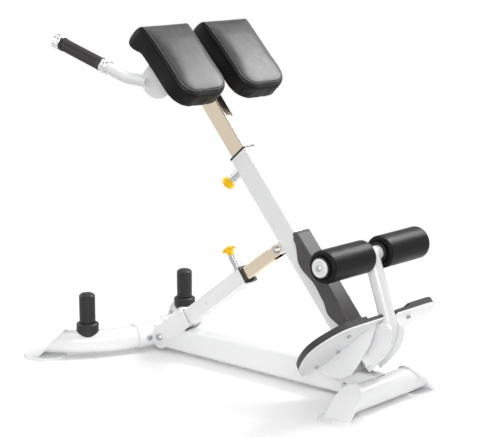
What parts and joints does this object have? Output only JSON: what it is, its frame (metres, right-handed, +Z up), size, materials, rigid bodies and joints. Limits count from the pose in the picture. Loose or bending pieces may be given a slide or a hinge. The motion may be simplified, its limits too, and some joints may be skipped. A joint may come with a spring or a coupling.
{
  "type": "roman chair",
  "caption": "Floor-standing back extension bench: curved front tube, telescoping strut, leaning upright with sliding thigh pads, grips, foot plate and ankle rollers.",
  "frame": {"origin": "centre of the footprint on the floor", "axes": "+X towards the ankle rollers, +Z up, symmetric about the XZ plane"},
  "size_m": [1.3174, 0.799, 1.1309],
  "materials": {
    "white_coat": "gloss powder coat",
    "white_plastic": "gloss",
    "zinc": "satin zinc plate",
    "nickel": "bright nickel plate",
    "chrome": "polished",
    "vinyl": "grained satin vinyl",
    "mat_rubber": "matte, finely ribbed",
    "grip_rubber": "satin",
    "peg_plastic": "satin",
    "black_plastic": "satin",
    "guard_plastic": "fine texture",
    "yellow_plastic": "gloss"
  },
  "bodies": {
    "base": {"front_stabilizer": "white_coat", "front_end_plates": "white_coat", "front_foot_discs": "white_coat", "band_pegs": "peg_plastic", "peg_collars": "peg_plastic", "base_spine": "white_coat", "saddle_bracket": "white_coat", "saddle_bolts": "zinc", "rear_stabilizer": "white_coat", "rear_end_plates": "white_coat", "rear_foot_discs": "white_coat", "hinge_lug": "white_coat", "hinge_pin": "zinc", "spine_bolts": "zinc", "strut_pivot_bolt": "zinc"},
    "strut_sleeve": {"strut_outer_tube": "white_coat", "strut_collar": "black_plastic", "lower_pin_barrel": "zinc", "lower_pin_spring": "zinc"},
    "lower_pin": {"lower_pin_plunger": "zinc", "lower_pin_knob": "yellow_plastic"},
    "strut_slider": {"strut_inner_tube": "nickel"},
    "swing_frame": {"upright_tube": "white_coat", "upright_lug": "white_coat", "clevis_bolt": "zinc", "upright_bushing": "black_plastic", "upper_pin_barrel": "zinc", "upper_pin_spring": "zinc", "pivot_yoke": "white_coat", "pivot_bushes": "zinc", "pivot_covers": "white_coat", "foot_plate": "white_coat", "foot_mat": "mat_rubber", "foot_plate_bolts": "zinc", "shin_guard": "guard_plastic", "roller_arm": "white_coat", "roller_axle": "zinc", "roller_end_caps": "white_plastic", "roller_end_bolts": "zinc"},
    "upper_pin": {"upper_pin_plunger": "zinc", "upper_pin_knob": "yellow_plastic"},
    "carriage": {"inner_post": "nickel", "post_cap": "black_plastic", "pad_cross_tube": "white_coat", "handle_side_plates": "white_coat", "pad_flanges": "white_coat", "pad_boards": "black_plastic", "pad_screws": "zinc", "thigh_pad_left": "vinyl", "thigh_pad_right": "vinyl", "handle_tubes": "white_coat", "handle_grips": "grip_rubber", "grip_collars": "chrome", "grip_end_caps": "chrome"},
    "left_roller": {"roller_left": "vinyl", "roller_left_core": "black_plastic"},
    "right_roller": {"roller_right": "vinyl", "roller_right_core": "black_plastic"}
  },
  "joints": [
    {"name": "tilt", "type": "hinge", "parent": "base", "child": "swing_frame", "pos_m": [0.47275, 0, 0.126], "axis": [0, -1, 0], "range_deg": [0, 12]},
    {"name": "strut_swing", "type": "hinge", "parent": "base", "child": "strut_sleeve", "pos_m": [-0.32926, 0, 0.05], "axis": [0, -1, 0], "range_deg": [-2.2, 0.2]},
    {"name": "strut_slide", "type": "slide", "parent": "strut_sleeve", "child": "strut_slider", "axis": [0.8046, 0, 0.5938], "range_m": [-0.09, 0.005]},
    {"name": "pad_slide", "type": "slide", "parent": "swing_frame", "child": "carriage", "axis": [-0.6481, 0, 0.7615], "range_m": [-0.14, 0.112]},
    {"name": "upper_pin_pull", "type": "slide", "parent": "swing_frame", "child": "upper_pin", "axis": [-0.7615, 0, -0.6481], "range_m": [0, 0.012], "stiffness_N_per_m": 900, "springref_m": -0.012, "deforming": ["upper_pin_spring"]},
    {"name": "lower_pin_pull", "type": "slide", "parent": "strut_sleeve", "child": "lower_pin", "axis": [-0.5938, 0, 0.8046], "range_m": [0, 0.012], "stiffness_N_per_m": 900, "springref_m": -0.012, "deforming": ["lower_pin_spring"]},
    {"name": "roller_left_spin", "type": "hinge", "parent": "swing_frame", "child": "left_roller", "pos_m": [0.54401, -0.14, 0.46503], "axis": [0, 1, 0], "continuous": true},
    {"name": "roller_right_spin", "type": "hinge", "parent": "swing_frame", "child": "right_roller", "pos_m": [0.54401, 0.14, 0.46503], "axis": [0, 1, 0], "continuous": true}
  ],
  "couplings": [
    {"joint": "strut_swing", "follows": "tilt", "ratio": -0.165},
    {"joint": "strut_slide", "follows": "tilt", "m_per_rad": -0.4055}
  ]
}
